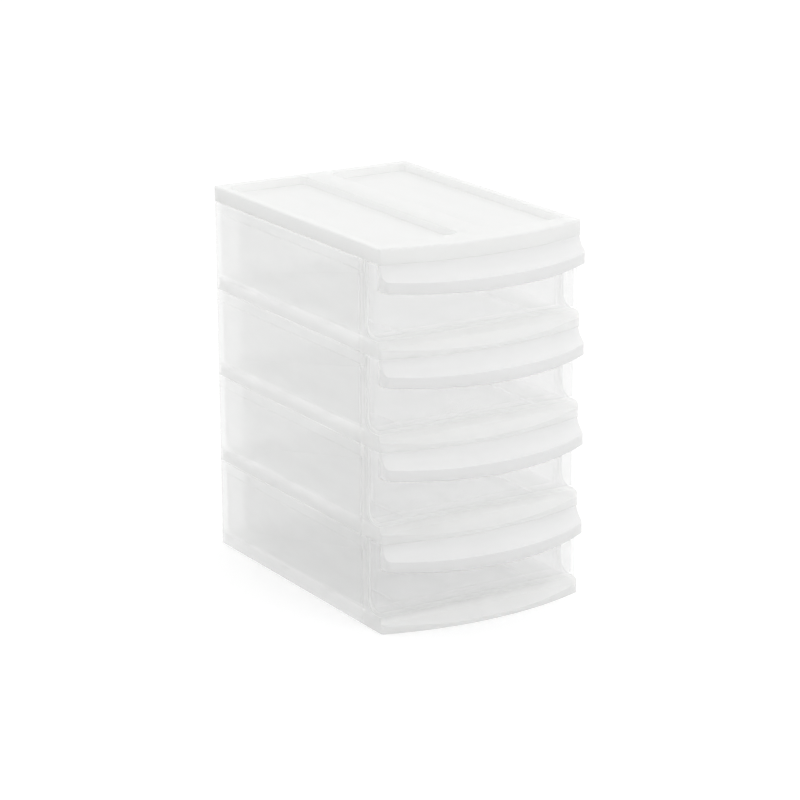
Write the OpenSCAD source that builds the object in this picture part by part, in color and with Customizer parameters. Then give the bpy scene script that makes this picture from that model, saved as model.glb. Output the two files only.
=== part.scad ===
// Desktop mini drawer tower: four stacking sections, a lid with two shallow
// pockets, and four drawers with a bowed pull along the top of their fronts.
// Millimetres, Z up. X runs across the front, and the drawers open towards -Y.
// The origin lies on the resting plane, under the middle of the tower's box.
// Each sub-part is drawn with y = 0 in the plane of its two front corners and
// z = 0 at its lower seam, and is then moved to its tier.

/* [Tower] */
// Width across the front
body_w = 120; // [100:1:180]
// Depth from the back wall to the two front corners
body_d = 171; // [140:1:240]
// Height of one section, from seam to seam
tier_h = 48; // [44:1:70]
// Height of the lid
lid_h = 8; // [7.6:0.2:12]
// How far the front edge bows out past the front corners
front_bow = 10.6; // [7:0.2:14]
// Radius of the two upright back corners
back_corner_r = 3; // [2.4:0.2:6]
// Radius of the two upright front corners
front_corner_r = 2.4; // [1.8:0.2:3]

/* [Section] */
// Thickness of the side and back walls
wall_t = 2; // [1.6:0.1:2.4]
// Height of the rim round the foot of a section, which is the drawer's floor
rim_h = 8.3; // [7.6:0.1:9.5]
// Height of the rim's upright face, below its sloped shoulder
flange_h = 6; // [4:0.2:7]
// How far the rim stands out past the walls
rim_proud = 0.7; // [0.4:0.1:1]
// Thickness of the rim
rim_t = 1.5; // [1.2:0.1:1.8]
// Height of the collar round the top of the walls
collar_h = 6; // [4:0.5:9]
// Thickness of the floor
floor_t = 1.8; // [1.2:0.1:2.2]
// Height of the two raised rails that a drawer slides on
glide_h = 0.6; // [0.3:0.1:1]
// Height of the tongue that enters the rim of the next piece up
tongue_h = 3; // [2:0.1:3.4]
// Clearance between the tongue and that rim
stack_gap = 0.3; // [0.2:0.05:0.5]
// Distance from the front corners back to the edge of the side wall
cutout_d = 14.5; // [12:0.5:20]
// Radius of the lower corner of that edge
cutout_r = 7; // [3:0.5:9]
// Height of the sloped sill where it meets the front corners
sill_z = 5; // [4:0.2:6]
// Height of the sill's bowed front edge
sill_edge_z = 2; // [1.6:0.1:2.6]
// Depth of the upright groove near the front of each side wall
groove_d = 0.5; // [0.2:0.1:0.8]
// Distance from the front corners back to the rib that stops a drawer
stop_y = 16; // [14:1:40]
// Distance from that rib to the next one across the underside, and so on
rib_pitch = 44; // [20:1:60]

/* [Drawer] */
// Thickness of the drawer's walls, floor and front
drawer_t = 1.5; // [1.2:0.1:2]
// Clearance between the tray and each side wall
side_gap = 0.6; // [0.4:0.1:1]
// Clearance between the tray and the rails it slides on
lift_gap = 0.3; // [0.2:0.05:0.5]
// Clearance round the edges of the drawer's front
front_gap = 0.4; // [0.3:0.05:0.8]
// Clearance behind a closed drawer
back_gap = 15; // [1:0.5:25]
// How far the flat front stands back from the front corners
panel_back = 1.8; // [1.2:0.1:3]
// How far the edge of the tray stays below the seam
tray_drop = 3.5; // [2.5:0.5:12]
// Inside radius of the tray's corners
tray_r = 4; // [2:0.5:8]
// Width of each catch on the tray's back wall
catch_w = 12; // [6:1:20]
// How far a catch rises past the seam
catch_up = 1.5; // [1:0.1:1.9]

/* [Pull] */
// How far the pull's ridge reaches past the front corners at the middle
pull_reach = 20.2; // [16:0.2:26]
// How far the ridge reaches past the front corners where its arc ends
pull_end_reach = 5.4; // [4.6:0.2:8]
// Radius of the pull's two corners, seen from above
pull_corner_r = 3.5; // [2.2:0.1:4.5]
// Distance from the seam down to the ridge
ridge_drop = 8.8; // [7:0.1:10]
// Distance from the seam down to the pull's lower edge at its two ends
edge_drop_end = 13.3; // [12.4:0.1:15]
// Distance from the seam down to the pull's lower edge at the middle
edge_drop_mid = 15.2; // [15.1:0.1:18]
// Thickness of the pull
pull_t = 1.6; // [1.2:0.1:2]

/* [Lid] */
// Radius of the lid's top edges
lid_edge_r = 1.2; // [0.5:0.1:1.6]
// Thickness of the lid's top and pocket floors
lid_t = 1.8; // [1.4:0.1:2]
// Width of the bar between the two pockets
bar_w = 16; // [10:1:24]
// Width of the border on the left and right of the pockets
border_side = 5.5; // [4.5:0.5:10]
// Width of the border behind the pockets
border_back = 7.2; // [5:0.2:12]
// Distance from the front corners back to the pockets
border_front = 7.5; // [5:0.5:14]
// Depth of the pockets
pocket_depth = 4; // [1.5:0.1:4.1]
// Radius of the pockets' corners
pocket_r = 4; // [2:0.5:8]

/* [Hidden] */

$fn = 64;
milky = [0.93, 0.94, 0.93, 0.8];
clear = [0.95, 0.96, 0.96, 0.5];
tiers = 4;
far = 500;                     // longer than any cut
past = 2;                      // how far a cut or a joined solid runs on
// Radius of an arc whose middle stands s out from a chord of half-length c
function arc_r(s, c) = (c * c + s * s) / (2 * s);
half_w = body_w / 2;
tower_y = (pull_reach - body_d) / 2;
axis_r = arc_r(front_bow, half_w);  // the bowed front turns about an upright axis
edge_c = 0.4;                  // chamfer on the outer edges at each seam
collar_in = 0.1;               // collar's step back from the rim above it
back_inner_r = 0.6;            // least radius inside a back corner
inner_w = half_w - rim_proud - wall_t;
inner_back = body_d - rim_proud - wall_t;
bay_r = 1.5;                   // upright corners of the room for the drawer
tongue_front = cutout_d + 2;   // where the tongue begins
floor_z = rim_h - glide_h;
hollow_z = floor_z - floor_t;
step_y = panel_back + 8;       // front end of the rails
sill_slope = (sill_z - sill_edge_z) / front_bow;
glide_w = 2.6;
glide_x = inner_w * 0.68;      // rails, left and right of the middle
rib_t = 1.2;
rib_x = half_w * 0.62;         // outer ribs, left and right of the middle
rib_z = tongue_h + 0.4;        // ribs stay above the tongue of the piece below
rib_front = panel_back + 3;    // ribs begin behind the sloped sill
rib_w = half_w - rim_t / 2;    // half the length of the ribs across
stop_z = 0.3;
stop_t = 1.6;
stop_w = inner_w - 4;          // half the length of the rib that stops a drawer
groove_y = cutout_d + 4.2;
groove_w = 1.6;
groove_r = 0.7;
groove_low = rim_h + 1.5;
groove_high = tier_h - collar_h - 2;
tray_w = inner_w - side_gap;
tray_back = inner_back - back_gap;
tray_z = rim_h + lift_gap;
tray_top = tier_h - tray_drop;
catch_x = tray_w * 0.66;       // catches, left and right of the middle
catch_low = tray_top - 6;      // foot of a catch, on the tray's back wall
catch_c = 0.7;                 // slope at the tip of a catch
front_w = half_w - rim_proud;
front_top = tier_h - front_gap;
pocket_w = half_w - border_side - bar_w / 2;
pocket_d = body_d - border_front - border_back;
pocket_z = lid_h - pocket_depth;
pocket_wall = 1.5;             // thickness of the walls under the pockets' edges
pull_inset = 0.6;              // pull's top edge, behind the rim above it
pull_rear = panel_back + drawer_t * 0.8;
cove_start = 1;                // upright strip above the cove

// ---------- plan shapes ----------

// Rectangle with four round corners, from corner (x0, y0) to (x1, y1)
module round_rect(x0, y0, x1, y1, r) {
    translate([x0 + r, y0]) square([x1 - x0 - 2 * r, y1 - y0]);
    translate([x0, y0 + r]) square([x1 - x0, y1 - y0 - 2 * r]);
    for (x = [x0 + r, x1 - r], y = [y0 + r, y1 - r])
        translate([x, y]) circle(r);
}

// Plate of half-width w with its back edge at y = back. Its front is an arc of
// radius bow_r about (0, bow_y), and its two front corners have the radius r.
module bowed_plate(w, back, bow_r, bow_y, r) {
    // a corner's circle is centred at (corner_x, corner_y), where it meets the bow
    corner_x = w - r;
    turn = asin(corner_x / (bow_r - r));
    corner_y = bow_y - (bow_r - r) * cos(turn);
    cut = r + 2 * past;
    translate([-w, corner_y]) square([2 * w, back - corner_y]);
    difference() {
        intersection() {
            translate([0, bow_y]) circle(bow_r, $fn = 180);
            translate([-w, bow_y - bow_r - past])
                square([2 * w, corner_y - bow_y + bow_r + 2 * past]);
        }
        for (side = [-1, 1])
            polygon([[side * corner_x, corner_y], [side * (w + past), corner_y],
                [side * (w + past), corner_y - cut],
                [side * (corner_x + cut * sin(turn)), corner_y - cut * cos(turn)]]);
    }
    for (side = [-1, 1])
        translate([side * corner_x, corner_y]) circle(r);
}

// Outline of the tower seen from above, drawn in by the given distance
module footprint(inset) {
    w = half_w - inset;
    back_r = max(back_corner_r - inset, back_inner_r);
    bowed_plate(w, body_d - inset - back_r, axis_r - inset, axis_r - front_bow,
        front_corner_r - inset);
    round_rect(-w, body_d / 2, w, body_d - inset, back_r);
}

// ---------- side and front shapes, drawn as (y, z) and (x, z) ----------

// Carries a (y, z) shape across the whole width
module across() {
    rotate([90, 0, 90]) linear_extrude(far, center = true) children();
}

// Carries an (x, z) shape along the whole depth
module along() {
    rotate([90, 0, 0]) linear_extrude(2 * far, center = true) children();
}

// Space in the front of a side wall that the drawer fills
module cutout(gap, foot) {
    r = cutout_r - gap;
    translate([-far, foot]) square([far + cutout_d - gap - r, far]);
    translate([-far, foot + r]) square([far + cutout_d - gap, far]);
    translate([cutout_d - gap - r, foot + r]) circle(r);
}

// Height of the sloped sill at a distance y behind the front corners
function sill_at(y) = sill_z + sill_slope * y;

// A section seen from the side: sill, wall edge, rim and collar
module section_side() {
    wall_y = body_d - rim_proud;
    collar_y = body_d - collar_in;
    edge_y = -front_bow - past;
    difference() {
        polygon([[edge_y, 0], [edge_y, sill_at(edge_y)],
            [0, sill_z], [panel_back, rim_h], [panel_back, tier_h],
            [collar_y - edge_c, tier_h], [collar_y, tier_h - edge_c],
            [collar_y, tier_h - collar_h], [wall_y, tier_h - collar_h - rim_proud],
            [wall_y, rim_h], [body_d, flange_h], [body_d, edge_c], [body_d - edge_c, 0]]);
        cutout(0, rim_h);
    }
}

// Half of a section seen from the front, as points up its outer face
function wall_steps() = [[half_w - edge_c, 0], [half_w, edge_c], [half_w, flange_h],
    [half_w - rim_proud, rim_h], [half_w - rim_proud, tier_h - collar_h - rim_proud],
    [half_w - collar_in, tier_h - collar_h], [half_w - collar_in, tier_h - edge_c],
    [half_w - collar_in - edge_c, tier_h]];

// The same points on both sides
module section_front() {
    steps = wall_steps();
    last = len(steps) - 1;
    polygon(concat(steps, [for (i = [last:-1:0]) [-steps[i][0], steps[i][1]]]));
}

// Space under the floor and the sloped sill, seen from the side
module hollow_side() {
    start = (floor_t - sill_z - past) / sill_slope;
    polygon([[start, -past], [0, sill_z - floor_t], [panel_back + 1, hollow_z],
        [far, hollow_z], [far, -past]]);
}

// ---------- section ----------

module section_outside() {
    intersection() {
        linear_extrude(tier_h) footprint(0);
        along() section_front();
        across() section_side();
    }
    // tongue for the piece above
    intersection() {
        translate([0, 0, tier_h - collar_h]) linear_extrude(collar_h + tongue_h)
            footprint(rim_t + stack_gap);
        translate([-far / 2, tongue_front, 0]) cube(far);
    }
}

// Room for the drawer: level with the sill in front, then one step down,
// except along the two rails
module section_bay() {
    translate([0, 0, rim_h]) linear_extrude(far)
        round_rect(-inner_w, -far, inner_w, inner_back, bay_r);
    difference() {
        translate([0, 0, floor_z]) linear_extrude(far)
            round_rect(-inner_w, step_y, inner_w, inner_back, bay_r);
        for (side = [-1, 1])
            translate([side * glide_x - glide_w / 2, 0, 0]) cube([glide_w, far, rim_h]);
    }
}

module section_hollow() {
    intersection() {
        translate([0, 0, -past]) linear_extrude(hollow_z + 2 * past) footprint(rim_t);
        across() hollow_side();
    }
}

// Upright groove in the outside of each side wall
module section_grooves() {
    for (side = [0, 1])
        mirror([side, 0, 0]) translate([half_w - rim_proud - groove_d, 0, 0])
            rotate([90, 0, 90]) linear_extrude(far)
                round_rect(groove_y, groove_low, groove_y + groove_w, groove_high, groove_r);
}

// Rib from rib_z up to the given height, along the depth at a distance x
module long_rib(x, front, top) {
    translate([x - rib_t / 2, front, rib_z]) cube([rib_t, inner_back + rim_t - front, top - rib_z]);
}

// Ribs from rib_z up to the given height, across the underside from rim to rim
module cross_ribs(top) {
    for (y = [stop_y + rib_pitch:rib_pitch:inner_back - rib_t])
        translate([-rib_w, y, rib_z]) cube([2 * rib_w, rib_t, top - rib_z]);
}

// Rib across the underside, which the catches of the drawer below meet
module stop_rib(top) {
    translate([-stop_w, stop_y, stop_z]) cube([2 * stop_w, stop_t, top - stop_z]);
}

module section() {
    difference() {
        section_outside();
        section_bay();
        section_hollow();
        section_grooves();
    }
    for (side = [-1, 0, 1])
        long_rib(side * rib_x, rib_front, hollow_z + floor_t / 2);
    cross_ribs(hollow_z + floor_t / 2);
    stop_rib(hollow_z + floor_t / 2);
}

// ---------- lid ----------

// Both pockets, grown outwards by the given distance, from bottom up to top
module pockets(grow, bottom, top) {
    for (side = [0, 1])
        mirror([side, 0, 0]) translate([0, 0, bottom]) linear_extrude(top - bottom)
            round_rect(bar_w / 2 - grow, border_front - grow, bar_w / 2 + pocket_w + grow,
                border_front + pocket_d + grow, pocket_r + grow);
}

// The lid seen from the front or the side: round at the top, chamfered below
module lid_outline(x0, x1) {
    r = lid_edge_r;
    polygon([[x0 + edge_c, 0], [x1 - edge_c, 0], [x1, edge_c], [x1, lid_h - r],
        [x0, lid_h - r], [x0, edge_c]]);
    translate([x0 + r, edge_c]) square([x1 - x0 - 2 * r, lid_h - edge_c]);
    for (x = [x0 + r, x1 - r])
        translate([x, lid_h - r]) circle(r);
}

// Disc about the axis of the bowed front, with the lid's round edge
module lid_disc() {
    r = lid_edge_r;
    translate([0, axis_r - front_bow, 0]) rotate_extrude($fn = 180) {
        square([axis_r, lid_h - r]);
        square([axis_r - r, lid_h]);
        translate([axis_r - r, lid_h - r]) circle(r);
    }
}

module lid_outside() {
    intersection() {
        linear_extrude(lid_h) footprint(0);
        along() lid_outline(-half_w, half_w);
        across() lid_outline(-far, body_d);
        lid_disc();
    }
}

module lid_shell() {
    difference() {
        union() {
            difference() {
                lid_outside();
                translate([0, 0, -past]) linear_extrude(lid_h - lid_t + past) footprint(rim_t);
            }
            pockets(pocket_wall, pocket_z - lid_t, lid_h);
        }
        pockets(0, pocket_z, lid_h + past);
    }
    long_rib(0, rim_t / 2 - front_bow, lid_h - lid_t / 2);
    stop_rib(pocket_z - lid_t / 2);
}

// ---------- drawer ----------

// Block whose lower edges and upright corners are rounded with radius r
module tub(w, y0, y1, z0, z1, r) {
    intersection() {
        translate([0, 0, z0]) linear_extrude(z1 - z0) round_rect(-w, y0, w, y1, r);
        along() round_rect(-w, z0, w, z1 + 2 * r, r);
        across() round_rect(y0, z0, y1, z1 + 2 * r, r);
    }
}

// Wide front part of the drawer from its flat front back to the edges of the
// section's side walls, up to the given height and drawn in by t
module wide_front(t, top) {
    rotate([90, 0, 90]) linear_extrude(2 * (front_w - t), center = true) intersection() {
        cutout(front_gap + t, tray_z + t);
        translate([panel_back + t, 0]) square([far, top]);
    }
}

// Open tray, which the section's side walls make narrower behind its front
module tray() {
    outer_r = tray_r + drawer_t;
    difference() {
        union() {
            tub(tray_w, panel_back - outer_r, tray_back, tray_z, tray_top, outer_r);
            wide_front(0, front_top);
        }
        tub(tray_w - drawer_t, panel_back + drawer_t, tray_back - drawer_t,
            tray_z + drawer_t, tier_h, tray_r);
        wide_front(drawer_t, far);
        translate([-far / 2, panel_back - far, 0]) cube(far);
    }
}

// Catches that keep the drawer from being pulled right out
module catches() {
    top = tier_h + catch_up;
    for (side = [-1, 1])
        translate([side * catch_x - catch_w / 2, 0, 0]) rotate([90, 0, 90])
            linear_extrude(catch_w)
                polygon([[tray_back - drawer_t, catch_low], [tray_back, catch_low],
                    [tray_back, top - 2 * catch_c], [tray_back - catch_c, top],
                    [tray_back - drawer_t, top]]);
}

// ---------- pull ----------

// Plan of the pull from its flat front to the bowed ridge, drawn in by t
module pull_plan(t) {
    ridge_r = arc_r(pull_reach - pull_end_reach, front_w);
    bowed_plate(front_w - t, pull_rear + t, ridge_r - t, ridge_r - pull_reach, pull_corner_r - t);
}

// Ring that hollows the cove above the ridge. It turns about the axis of the
// tower's bowed front, so the pull's top edge follows the rim above it.
module pull_cove(t) {
    out = pull_reach - front_bow + pull_inset;
    down = ridge_drop - front_gap - cove_start;
    cove_r = (out * out + down * down) / (2 * down);
    translate([0, axis_r - front_bow, front_top - cove_start])
        rotate_extrude($fn = 180) translate([axis_r - pull_inset, 0]) {
            translate([out, cove_r - down]) circle(cove_r + t);
            translate([-t, 0]) square([2 * cove_r, cove_r]);
        }
}

// The pull as a solid, or the space inside it when drawn in by its thickness
module pull_form(t) {
    edge_r = arc_r(edge_drop_mid - edge_drop_end, front_w);
    difference() {
        intersection() {
            translate([0, 0, front_top - t - 2 * edge_drop_mid])
                linear_extrude(2 * edge_drop_mid) pull_plan(t);
            along() translate([0, tier_h - edge_drop_mid - 2 * t + edge_r])
                circle(edge_r, $fn = 360);
        }
        pull_cove(t);
    }
}

module pull() {
    difference() {
        pull_form(0);
        pull_form(pull_t);
    }
}

module drawer() {
    tray();
    catches();
    pull();
}

// ---------- the sub-parts in place ----------

module on_tier(tier) {
    translate([0, tower_y, (tier - 1) * tier_h]) children();
}

module section_1() { color(milky) on_tier(1) section(); }
module section_2() { color(milky) on_tier(2) section(); }
module section_3() { color(milky) on_tier(3) section(); }
module section_4() { color(milky) on_tier(4) section(); }
module lid() { color(milky) on_tier(tiers + 1) lid_shell(); }
module drawer_1() { color(clear) on_tier(1) drawer(); }
module drawer_2() { color(clear) on_tier(2) drawer(); }
module drawer_3() { color(clear) on_tier(3) drawer(); }
module drawer_4() { color(clear) on_tier(4) drawer(); }

section_1();
section_2();
section_3();
section_4();
lid();
drawer_1();
drawer_2();
drawer_3();
drawer_4();
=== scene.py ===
# %% [markdown]
# # A desk tower of four small drawers
#
# The object is a stack of four alike plastic sections under a lid. Each
# section holds one open drawer with a bowed pull along the top of its front.
# Everything is injection moulded in one family of plastic, polypropylene:
# milky in the sections and the lid, clearer in the drawers.
#
# The exact solids come from a CAD model, which is loaded first. It fixes every
# size and every motion. What is left for Blender is how the mouldings look:
# their softened edges, their cloudy see-through walls and the light on them.

import math

import bmesh
import bpy
from mathutils import Matrix, Vector


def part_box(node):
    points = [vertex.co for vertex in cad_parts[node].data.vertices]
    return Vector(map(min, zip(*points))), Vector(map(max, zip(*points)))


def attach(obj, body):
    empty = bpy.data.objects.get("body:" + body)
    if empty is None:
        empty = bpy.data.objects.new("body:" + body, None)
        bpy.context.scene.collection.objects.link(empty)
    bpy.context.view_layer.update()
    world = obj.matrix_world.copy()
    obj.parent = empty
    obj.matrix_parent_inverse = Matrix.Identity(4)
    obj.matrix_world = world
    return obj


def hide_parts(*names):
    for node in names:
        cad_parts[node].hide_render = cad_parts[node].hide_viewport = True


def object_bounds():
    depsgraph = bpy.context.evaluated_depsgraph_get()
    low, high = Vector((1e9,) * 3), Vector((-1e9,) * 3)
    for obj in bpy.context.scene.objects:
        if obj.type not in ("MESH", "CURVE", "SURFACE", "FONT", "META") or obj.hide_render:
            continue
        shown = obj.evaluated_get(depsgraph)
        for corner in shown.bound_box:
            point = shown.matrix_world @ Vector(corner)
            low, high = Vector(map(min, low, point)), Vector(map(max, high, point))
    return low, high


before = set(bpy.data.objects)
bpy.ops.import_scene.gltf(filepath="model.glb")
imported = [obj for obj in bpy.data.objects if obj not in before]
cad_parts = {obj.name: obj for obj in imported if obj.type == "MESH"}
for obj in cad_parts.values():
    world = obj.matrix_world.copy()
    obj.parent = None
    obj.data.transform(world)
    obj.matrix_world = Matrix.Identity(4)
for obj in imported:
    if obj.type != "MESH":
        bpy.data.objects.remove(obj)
cad_low, cad_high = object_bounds()
scene = bpy.context.scene

MM = 0.001
section_nodes = ["section_1", "section_2", "section_3", "section_4"]
drawer_nodes = ["drawer_1", "drawer_2", "drawer_3", "drawer_4"]
tier_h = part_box("section_2")[0].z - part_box("section_1")[0].z

print("nodes:", sorted(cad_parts))
print("box in mm:", [round((b - a) / MM, 1) for a, b in zip(cad_low, cad_high)])
print("tier height in mm:", round(tier_h / MM, 2))

# %% [markdown]
# ## Small helpers for materials
#
# A material is a graph of nodes, and the graphs here want the same few things:
# a soft noise read at a point on the moulding, a remap from the noise to a
# useful range, a step of arithmetic, and mixes of colours and of shaders. A
# helper for each keeps the graphs short and readable.

# %% Node helpers
def new_material(name):
    """A material with nothing in its graph but the output."""
    material = bpy.data.materials.new(name)
    material.use_nodes = True
    material.node_tree.nodes.clear()
    output = material.node_tree.nodes.new("ShaderNodeOutputMaterial")
    return material, material.node_tree, output


def noise_at(tree, point, scale, detail=2.0, stretch=(1, 1, 1)):
    """A noise value from 0 to 1. Scale counts its lumps per metre."""
    mapping = tree.nodes.new("ShaderNodeMapping")
    mapping.inputs["Scale"].default_value = stretch
    noise = tree.nodes.new("ShaderNodeTexNoise")
    noise.inputs["Scale"].default_value = scale
    noise.inputs["Detail"].default_value = detail
    tree.links.new(point, mapping.inputs["Vector"])
    tree.links.new(mapping.outputs["Vector"], noise.inputs["Vector"])
    return noise.outputs["Fac"]


def remap(tree, value, from_low, from_high, to_low, to_high):
    """Carries one range of a value to another, and clamps it there."""
    node = tree.nodes.new("ShaderNodeMapRange")
    node.clamp = True
    tree.links.new(value, node.inputs["Value"])
    for socket, number in zip(node.inputs[1:5], (from_low, from_high, to_low, to_high)):
        socket.default_value = number
    return node.outputs["Result"]


def math_node(tree, operation, a, b):
    """One step of arithmetic on sockets or plain numbers."""
    node = tree.nodes.new("ShaderNodeMath")
    node.operation = operation
    for socket, value in zip(node.inputs, (a, b)):
        if hasattr(value, "default_value"):
            tree.links.new(value, socket)
        else:
            socket.default_value = value
    return node.outputs["Value"]


def mix_colour(tree, share, low, high):
    """A colour between two, by a share from 0 to 1."""
    node = tree.nodes.new("ShaderNodeMix")
    node.data_type = "RGBA"
    tree.links.new(share, node.inputs["Factor"])
    node.inputs["A"].default_value = (*low, 1)
    node.inputs["B"].default_value = (*high, 1)
    return node.outputs["Result"]


def mix_shaders(tree, share, first, second):
    """Two shaders mixed, with the given share of the second one."""
    node = tree.nodes.new("ShaderNodeMixShader")
    if hasattr(share, "default_value"):
        tree.links.new(share, node.inputs["Fac"])
    else:
        node.inputs["Fac"].default_value = share
    tree.links.new(first, node.inputs[1])
    tree.links.new(second, node.inputs[2])
    return node.outputs["Shader"]


print("material helpers ready")

# %% [markdown]
# ## Milky and clear polypropylene
#
# Polypropylene without pigment is cloudy: thin walls let light and soft shapes
# through, and thick places such as rims look whiter. True glass-like shading
# would need many bounces through nine nested mouldings, so each skin of a wall
# is a mix instead. Part of the light goes straight through, by a Transparent
# shader. The rest is scattered, and of that a share comes out on the far side,
# by a Translucent shader, which makes the inside of the tower glow as brightly
# as the outside. Where two mouldings nest, as at a rim and its tongue, four
# skins add up to the whiter look of a thick place by themselves.
#
# The plastic soaks up next to no light, so its colour is very pale. A faint
# noise makes the cloudiness uneven, stretched along the way the plastic flowed
# in the mould. The surface is satin: a polished mould, but never a mirror.
#
# There are three grades. The sections are milky, and whiter from their upright
# groove forward. The lid is as dense as thick plastic. The drawers are the
# clearest, but their pulls are as dense as the lid.

# %% The plastic
palest, tint_range = 0.998, 0.004
satin_range = 0.04
soft_edge_r = 0.8 * MM
grain_depth = 0.02 * MM


def polypropylene(name, colour, density, cloud, roughness, bump, band_end, band_density):
    """Cloudy plastic. Density is the share of light that one skin scatters, and
    cloud is how far that strays from place to place. In front of band_end, where
    the moulding looks whiter, it is band_density."""
    material, tree, output = new_material(name)
    shader = tree.nodes.new("ShaderNodeBsdfPrincipled")
    glow = tree.nodes.new("ShaderNodeBsdfTranslucent")
    point = tree.nodes.new("ShaderNodeTexCoord").outputs["Object"]
    shader.inputs["IOR"].default_value = 1.49
    flow = noise_at(tree, point, 30, detail=4, stretch=(1, 0.35, 1))
    paler = tuple(min(palest, c + tint_range) for c in colour)
    darker = tuple(c - tint_range for c in colour)
    tint = mix_colour(tree, flow, darker, paler)
    tree.links.new(tint, shader.inputs["Base Color"])
    tree.links.new(tint, glow.inputs["Color"])
    cloudy = remap(tree, flow, 0.3, 0.7, density - cloud, density + cloud)
    place = tree.nodes.new("ShaderNodeSeparateXYZ")
    tree.links.new(point, place.inputs["Vector"])
    extra = remap(
        tree, place.outputs["Y"], band_end - band_fade, band_end, band_density - density, 0
    )
    cloudy = math_node(tree, "ADD", cloudy, extra)
    satin = noise_at(tree, point, 120, detail=2)
    tree.links.new(
        remap(tree, satin, 0.3, 0.7, roughness - satin_range, roughness + satin_range),
        shader.inputs["Roughness"],
    )
    grain = noise_at(tree, point, 1400, detail=1)
    soft_edge = tree.nodes.new("ShaderNodeBevel")
    soft_edge.samples = 4
    soft_edge.inputs["Radius"].default_value = soft_edge_r
    relief = tree.nodes.new("ShaderNodeBump")
    tree.links.new(soft_edge.outputs["Normal"], relief.inputs["Normal"])
    relief.inputs["Strength"].default_value = bump
    relief.inputs["Distance"].default_value = grain_depth
    tree.links.new(grain, relief.inputs["Height"])
    tree.links.new(relief.outputs["Normal"], shader.inputs["Normal"])
    scattered = mix_shaders(tree, forward_share, shader.outputs["BSDF"], glow.outputs["BSDF"])
    straight = tree.nodes.new("ShaderNodeBsdfTransparent")
    whole = mix_shaders(tree, cloudy, straight.outputs["BSDF"], scattered)
    tree.links.new(whole, output.inputs["Surface"])
    return material


forward_share = 0.5
band_fade = 1.5 * MM
panel_front = cad_low.y + 22 * MM
wall_groove = cad_low.y + 39.5 * MM
milk_white = (0.993, 0.995, 0.991)
milky = polypropylene(
    "milky_polypropylene", milk_white, density=0.3, cloud=0.02, roughness=0.4,
    bump=0.25, band_end=wall_groove, band_density=0.5,
)
thick = polypropylene(
    "thick_polypropylene", milk_white, density=0.75, cloud=0.02, roughness=0.4,
    bump=0.25, band_end=wall_groove, band_density=0.75,
)
clear = polypropylene(
    "clear_polypropylene", (0.994, 0.996, 0.996), density=0.18, cloud=0.02, roughness=0.22,
    bump=0.15, band_end=panel_front, band_density=0.75,
)
print("materials:", [plastic.name for plastic in (milky, thick, clear)])

# %% [markdown]
# ## Softened mouldings
#
# A CAD solid has knife edges, and a real moulding never does: the mould is cut
# with a small round everywhere, which is what draws the thin bright and dark
# lines along every edge. Each solid's mesh is copied and its loose triangles
# are merged into one skin. Flat areas are dissolved into single faces, so that
# the Bevel modifier meets clean edges. The few that wind round many corners,
# as a face with holes does, are cut into triangles again, because a renderer
# can't split such a face safely. Each sharp edge carries a weight for its
# radius, and one Bevel modifier reads them all. It keeps the rounds so narrow
# that they never run into one another, so the plastic adds a softer look of
# its own: a Bevel node bends the normals near every edge. The result is baked
# to a plain mesh.

# %% Edge rounding
most_corners = 30
sharp = math.radians(34)
flat = math.radians(0.3)
same_point = 0.1 * MM


def softened(node, edge_r, segments=2, bold_r=0, is_bold=None):
    """A copy of a CAD node's mesh with small rounds on its sharp edges. The
    edges that is_bold picks get the wider radius bold_r."""
    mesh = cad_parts[node].data.copy()
    skin = bmesh.new()
    skin.from_mesh(mesh)
    bmesh.ops.remove_doubles(skin, verts=skin.verts, dist=same_point)
    bmesh.ops.dissolve_limit(skin, angle_limit=flat, verts=skin.verts, edges=skin.edges)
    winding = [face for face in skin.faces if len(face.verts) > most_corners]
    bmesh.ops.triangulate(skin, faces=winding, ngon_method="EAR_CLIP")
    for face in skin.faces:
        face.smooth = True
    widest = max(edge_r, bold_r)
    weight = skin.edges.layers.float.new("bevel_weight_edge")
    bold = 0
    for edge in skin.edges:
        if len(edge.link_faces) != 2 or edge.calc_face_angle(0) < sharp:
            continue
        if is_bold and is_bold(edge):
            edge[weight] = bold_r / widest
            bold += 1
        else:
            edge[weight] = edge_r / widest
    skin.to_mesh(mesh)
    skin.free()
    mesh.materials.clear()
    piece = bpy.data.objects.new("softening", mesh)
    scene.collection.objects.link(piece)
    bevel = piece.modifiers.new("edge rounds", "BEVEL")
    bevel.width = widest
    bevel.segments = segments
    bevel.limit_method = "WEIGHT"
    bevel.use_clamp_overlap = True
    bevel.miter_outer = "MITER_ARC"
    bevel.harden_normals = True
    print(node, "edges with a wide round:", bold)
    return piece


print("edge rounding ready")

# %% [markdown]
# ## One moulding, many tiers
#
# The four sections are one moulding used four times, and so are the drawers.
# A Geometry Nodes tree is a good way to say this: it takes the finished bottom
# moulding and lifts it to a tier by a whole number of tier heights, then gives
# it its plastic. Changing the tier height or the moulding changes every copy.

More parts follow.
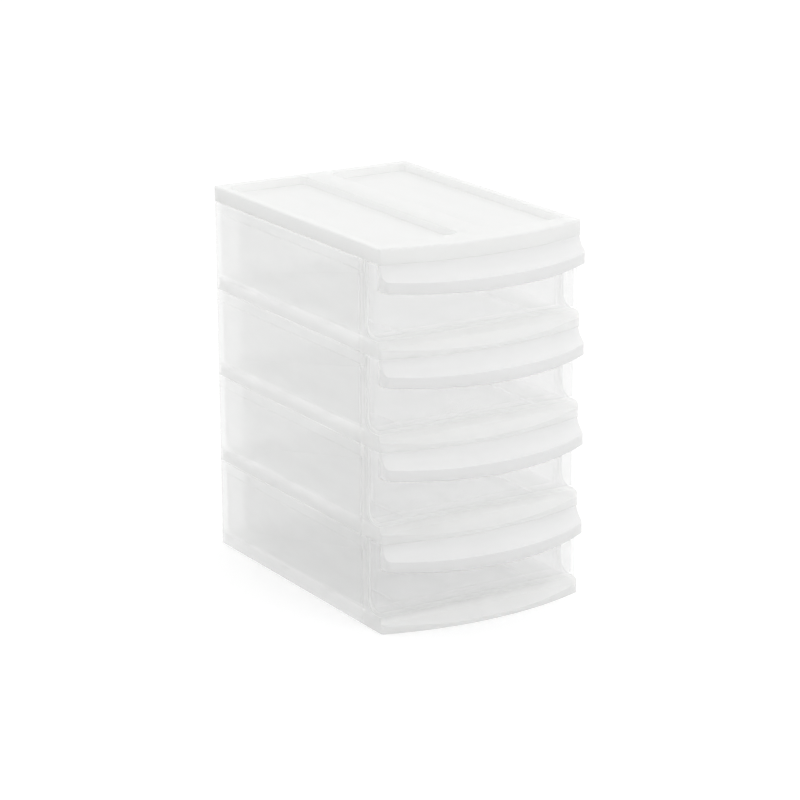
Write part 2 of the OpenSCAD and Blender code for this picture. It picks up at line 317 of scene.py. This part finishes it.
# %% The tree that lifts a moulding to its tier
def tier_tree():
    """Geometry in, the same geometry on a higher tier and in its plastic out."""
    tree = bpy.data.node_groups.new("moulding_on_its_tier", "GeometryNodeTree")
    face = tree.interface
    face.new_socket("Moulding", in_out="INPUT", socket_type="NodeSocketGeometry")
    face.new_socket("Tier", in_out="INPUT", socket_type="NodeSocketInt")
    face.new_socket("Tier height", in_out="INPUT", socket_type="NodeSocketFloat")
    face.new_socket("Plastic", in_out="INPUT", socket_type="NodeSocketMaterial")
    face.new_socket("Placed", in_out="OUTPUT", socket_type="NodeSocketGeometry")
    given = tree.nodes.new("NodeGroupInput")
    made = tree.nodes.new("NodeGroupOutput")
    spot = tree.nodes.new("GeometryNodeMeshLine")
    lift = tree.nodes.new("ShaderNodeMath")
    lift.operation = "MULTIPLY"
    place = tree.nodes.new("ShaderNodeCombineXYZ")
    copy = tree.nodes.new("GeometryNodeInstanceOnPoints")
    real = tree.nodes.new("GeometryNodeRealizeInstances")
    plastic = tree.nodes.new("GeometryNodeSetMaterial")
    spot.mode = "OFFSET"
    spot.inputs["Count"].default_value = 1
    links = tree.links
    links.new(given.outputs["Tier"], lift.inputs[0])
    links.new(given.outputs["Tier height"], lift.inputs[1])
    links.new(lift.outputs["Value"], place.inputs["Z"])
    links.new(place.outputs["Vector"], spot.inputs["Start Location"])
    links.new(spot.outputs["Mesh"], copy.inputs["Points"])
    links.new(given.outputs["Moulding"], copy.inputs["Instance"])
    links.new(copy.outputs["Instances"], real.inputs["Geometry"])
    links.new(real.outputs["Geometry"], plastic.inputs["Geometry"])
    links.new(given.outputs["Plastic"], plastic.inputs["Material"])
    links.new(plastic.outputs["Geometry"], made.inputs["Placed"])
    return tree


lifting = tier_tree()
socket_ids = {
    item.name: item.identifier
    for item in lifting.interface.items_tree
    if item.item_type == "SOCKET" and item.in_out == "INPUT"
}
print("tree inputs:", sorted(socket_ids))

# %% Place a moulding and bake it
def place_moulding(source, name, tier, plastic, body, node):
    """Bakes the softened moulding on its tier, keeps it inside the solid's box,
    and lets it stand for the node."""
    modifier = source.modifiers.new("tier", "NODES")
    modifier.node_group = lifting
    modifier[socket_ids["Tier"]] = tier
    modifier[socket_ids["Tier height"]] = tier_h
    modifier[socket_ids["Plastic"]] = plastic
    bpy.context.view_layer.update()
    seen = source.evaluated_get(bpy.context.evaluated_depsgraph_get())
    mesh = bpy.data.meshes.new_from_object(seen)
    source.modifiers.remove(modifier)
    node_low, node_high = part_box(node)
    for vert in mesh.vertices:
        vert.co = [min(max(c, a), b) for c, a, b in zip(vert.co, node_low, node_high)]
    piece = bpy.data.objects.new(name, mesh)
    scene.collection.objects.link(piece)
    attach(piece, body)
    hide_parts(node)
    print(name, len(mesh.polygons), "faces")
    return piece


# %% [markdown]
# ## The sections
#
# A section is a box with an open front and top: two side walls, a back wall, a
# floor with two rails, and a rim round its foot that hides the tongue of the
# section below. The bottom moulding is softened once and placed four times.

# %% Four sections
section_source = softened("section_1", 0.35 * MM)
sections = [
    place_moulding(section_source, f"{node}_moulding", tier, milky, "tower", node)
    for tier, node in enumerate(section_nodes)
]
bpy.data.objects.remove(section_source)
print("sections:", len(sections))

# %% [markdown]
# ## The lid
#
# The lid closes the stack. Its two shallow pockets hold small things.

# %% The lid
lid_source = softened("lid", 0.4 * MM, segments=3)
lid = place_moulding(lid_source, "lid_moulding", 0, thick, "tower", "lid")
bpy.data.objects.remove(lid_source)
print("lid:", lid.name)

# %% [markdown]
# ## The drawers
#
# A drawer is an open tray with a flat front, and the pull is a thin shell: a
# cove that sweeps out from the front's top edge to a bowed ridge, and a lip
# that turns down from the ridge. Fingers reach up behind the lip. The ridge is
# what a hand meets first, so it has a wider round than the other edges. It is
# found by its shape: a sharp outward edge, ahead of the tray, near the top.

# %% The pull's ridge
front_edge = cad_low.y
ridge_depth = 20.5 * MM
ridge_low, ridge_high = 38 * MM, 46 * MM


def on_ridge(edge):
    """True for the outward edges that run round the pull's top."""
    return edge.is_convex and all(
        vert.co.y < front_edge + ridge_depth and ridge_low < vert.co.z < ridge_high
        for vert in edge.verts
    )


print("front of the pulls in mm:", round(front_edge / MM, 2))

# %% Four drawers
drawer_source = softened("drawer_1", 0.35 * MM, segments=3, bold_r=0.8 * MM, is_bold=on_ridge)
drawers = [
    place_moulding(drawer_source, f"{node}_moulding", tier, clear, node, node)
    for tier, node in enumerate(drawer_nodes)
]
bpy.data.objects.remove(drawer_source)
print("drawers:", len(drawers))

# %% [markdown]
# ## A pale floor
#
# The tower stands on a plain white sweep. Bounced light meets a grey matt
# floor, so less light comes from below and the tower darkens towards its foot.
# The eye sees a white matt floor with a weak glow of its own added. Open paper
# then reads as pure white, while the shadow close under the tower stays.

# %% The floor
floor_mesh = bpy.data.meshes.new("floor")
reach = 6.0
floor_mesh.from_pydata(
    [(-reach, -reach, 0), (reach, -reach, 0), (reach, reach, 0), (-reach, reach, 0)],
    [],
    [(0, 1, 2, 3)],
)
floor = bpy.data.objects.new("floor", floor_mesh)
scene.collection.objects.link(floor)


def seen_directly(tree):
    """1 for camera, gloss and see-through rays, 0 for the light that bounces."""
    path = tree.nodes.new("ShaderNodeLightPath")
    seen = math_node(
        tree, "MAXIMUM", path.outputs["Is Camera Ray"], path.outputs["Is Glossy Ray"]
    )
    return math_node(tree, "MAXIMUM", seen, path.outputs["Is Transmission Ray"])


bounced, looked_at, glow = 0.42, 0.75, 0.36
paper, tree, output = new_material("white_paper")
seen = seen_directly(tree)
matt = tree.nodes.new("ShaderNodeBsdfDiffuse")
tree.links.new(mix_colour(tree, seen, (bounced,) * 3, (looked_at,) * 3), matt.inputs["Color"])
own_light = tree.nodes.new("ShaderNodeEmission")
tree.links.new(math_node(tree, "MULTIPLY", seen, glow), own_light.inputs["Strength"])
both = tree.nodes.new("ShaderNodeAddShader")
tree.links.new(matt.outputs["BSDF"], both.inputs[0])
tree.links.new(own_light.outputs["Emission"], both.inputs[1])
tree.links.new(both.outputs["Shader"], output.inputs["Surface"])
floor_mesh.materials.append(paper)
print("floor", 2 * reach, "m wide")

# %% [markdown]
# ## Soft studio light
#
# White things are lit from everywhere, with just enough direction to tell one
# face from the next. The world gives the even part, brighter from behind than
# from in front, as in a studio with a lit backdrop. This back light is what
# makes see-through walls glow. Two lamps stand in front: a small one up high
# that picks out the lid and the ridges of the pulls, and a broad low one that
# keeps the fronts as bright as the rest.

# %% World
world = bpy.data.worlds.new("studio")
scene.world = world
world.use_nodes = True
tree = world.node_tree
sky = tree.nodes["Background"]
sky.inputs["Color"].default_value = (1, 1, 1, 1)
brightest_way = Vector((0.45, 0.88, 0.0)).normalized()
even_part, back_part = 0.95, 0.45
darkest, lightest = even_part - back_part, even_part + back_part
slope = tree.nodes.new("ShaderNodeVectorMath")
slope.operation = "DOT_PRODUCT"
slope.inputs[1].default_value = brightest_way
tree.links.new(tree.nodes.new("ShaderNodeTexCoord").outputs["Generated"], slope.inputs[0])
light = remap(tree, slope.outputs["Value"], -1, 1, darkest, lightest)
shown = seen_directly(tree)
hidden_light = math_node(tree, "MULTIPLY", light, math_node(tree, "SUBTRACT", 1.0, shown))
tree.links.new(math_node(tree, "ADD", shown, hidden_light), sky.inputs["Strength"])
print("world from", darkest, "to", lightest)

# %% Lamps
def soft_lamp(name, place, aim, size, power):
    """A square area lamp at a place, turned to a point."""
    data = bpy.data.lights.new(name, "AREA")
    data.shape = "SQUARE"
    data.size = size
    data.energy = power
    lamp = bpy.data.objects.new(name, data)
    scene.collection.objects.link(lamp)
    lamp.location = place
    lamp.rotation_euler = (Vector(aim) - Vector(place)).to_track_quat("-Z", "Y").to_euler()


tower_middle = (0, 0, 0.1)
soft_lamp("high_front", (0.3, -1.2, 1.6), tower_middle, size=0.6, power=2.3)
soft_lamp("low_front", (0.4, -2.0, 0.4), tower_middle, size=1.4, power=5.5)

# %% [markdown]
# ## Camera
#
# The tower is seen from its front left corner, from a little above. A long
# lens keeps the upright edges close to parallel.

# %% Camera
camera = bpy.data.objects.new("camera", bpy.data.cameras.new("camera"))
scene.collection.objects.link(camera)
scene.camera = camera
camera.data.sensor_width = 36
camera.data.lens = 138.97
camera.data.clip_end = 50
stand = (-0.8105, -1.3295, 0.5542)
swing, tilt, roll = 31.30, 16.42, -0.33
camera.matrix_world = (
    Matrix.Translation(stand)
    @ Matrix.Rotation(math.radians(-swing), 4, "Z")
    @ Matrix.Rotation(math.radians(90 - tilt), 4, "X")
    @ Matrix.Rotation(math.radians(roll), 4, "Z")
)
print("lens", camera.data.lens, "mm")

# %% [markdown]
# ## Render settings for layered walls
#
# A line of sight through the tower meets many see-through skins in a row, so
# it is allowed more of them than usual before it ends. Light inside a box of
# white plastic also bounces many times, and with few bounces the inside would
# be too dark.

# %% Layers of see-through skin
scene.cycles.transparent_max_bounces = 40
scene.cycles.max_bounces = 16
scene.cycles.diffuse_bounces = 10
scene.view_settings.view_transform = "Standard"
print("see-through skins in a row:", scene.cycles.transparent_max_bounces)
